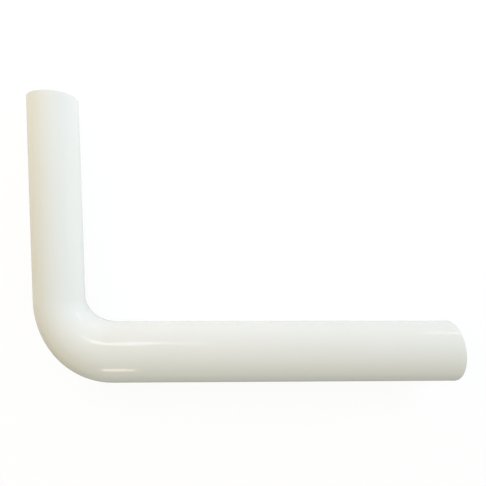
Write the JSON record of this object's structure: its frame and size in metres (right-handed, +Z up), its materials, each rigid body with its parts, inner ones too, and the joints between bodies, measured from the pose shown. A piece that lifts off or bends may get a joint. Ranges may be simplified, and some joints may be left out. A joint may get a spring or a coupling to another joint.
{
  "type": "flush pipe",
  "caption": "White plastic toilet flush pipe: an L-shaped bend that widens from a narrow cistern leg to a longer, wider pan leg, open at both ends, to carry the flush water.",
  "frame": {"origin": "middle of the underside of the bounding box, on the floor that the pipe lies on", "axes": "+X along the long pan leg towards its open end, +Y towards the short cistern leg's open end, +Z up"},
  "size_m": [0.2884, 0.1906, 0.04],
  "materials": {
    "white_plastic": "smooth glossy off-white moulded plastic"
  },
  "bodies": {
    "root": {"flush_pipe": "white_plastic"}
  },
  "joints": []
}
